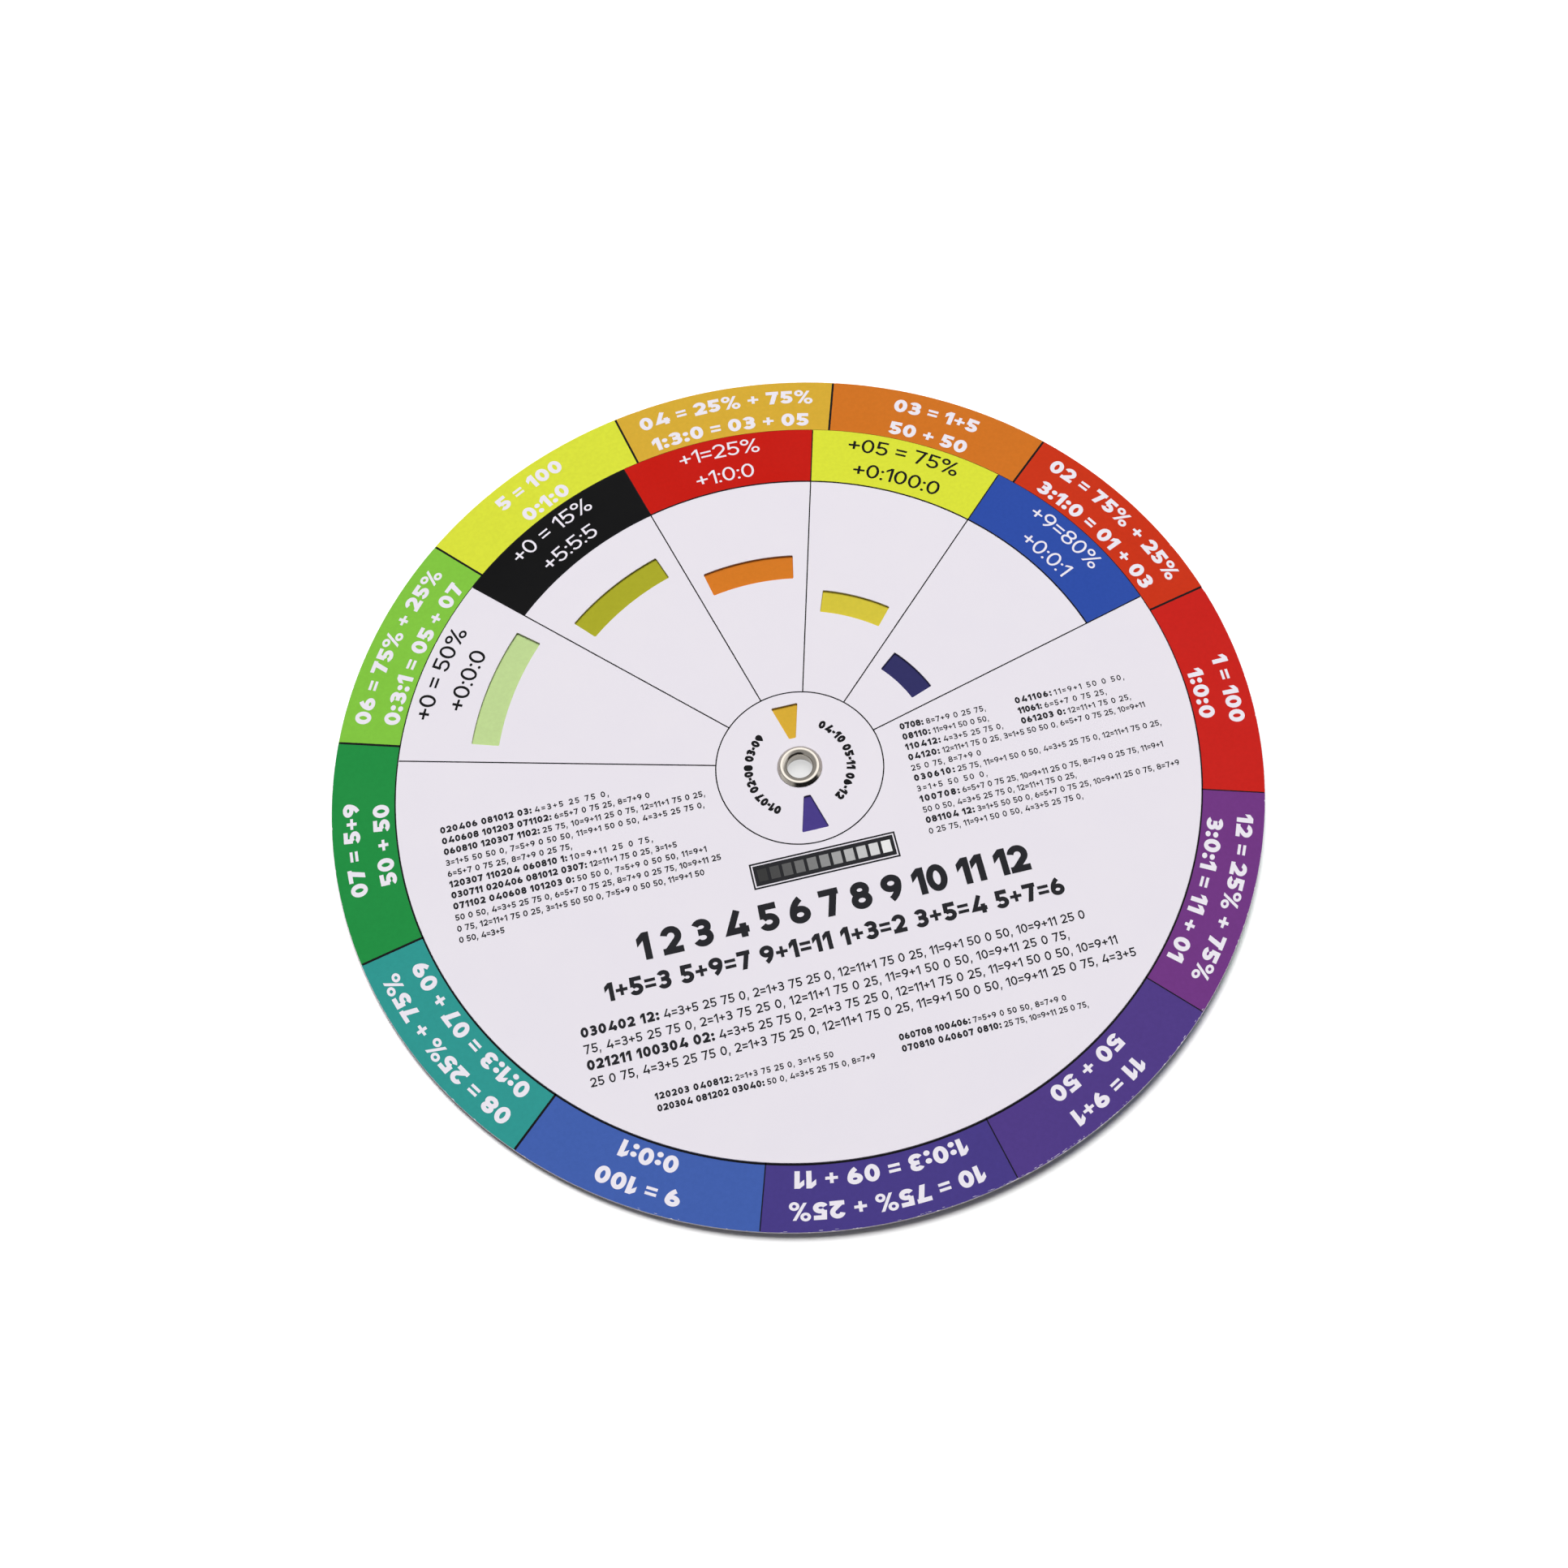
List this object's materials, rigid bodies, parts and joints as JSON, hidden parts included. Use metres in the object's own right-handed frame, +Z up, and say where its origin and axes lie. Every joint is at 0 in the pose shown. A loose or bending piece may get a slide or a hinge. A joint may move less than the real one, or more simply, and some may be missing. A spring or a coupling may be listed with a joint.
{
  "type": "colour mixing wheel",
  "caption": "Round card colour mixing wheel: a printed wheel between two smaller card dials with cut windows, all turning on one hollow metal eyelet.",
  "frame": {"origin": "on the eyelet's axis, at the height of the eyelet's rolled back end, which the object stands on", "axes": "+Z up out of the front dial along the eyelet's axis, +Y towards the front dial's upright, which is its middle mixing window, +X to the right"},
  "size_m": [0.235, 0.235, 0.0038],
  "materials": {
    "wheel_card": "printed card with a satin laminate",
    "dial_card": "white card with a satin laminate",
    "nickel_plate": "bright nickel plate on a drawn sheet-metal eyelet"
  },
  "bodies": {
    "wheel": {"wheel": "wheel_card"},
    "front_dial": {"front_dial": "dial_card"},
    "back_dial": {"back_dial": "dial_card"},
    "eyelet": {"eyelet": "nickel_plate"}
  },
  "joints": [
    {"name": "front_dial_spin", "type": "hinge", "parent": "wheel", "child": "front_dial", "pos_m": [0, 0, 0.00257], "axis": [0, 0, 1], "continuous": true},
    {"name": "back_dial_spin", "type": "hinge", "parent": "wheel", "child": "back_dial", "pos_m": [0, 0, 0.00122], "axis": [0, 0, 1], "continuous": true},
    {"name": "eyelet_spin", "type": "hinge", "parent": "wheel", "child": "eyelet", "pos_m": [0, 0, 0.0019], "axis": [0, 0, 1], "continuous": true}
  ]
}
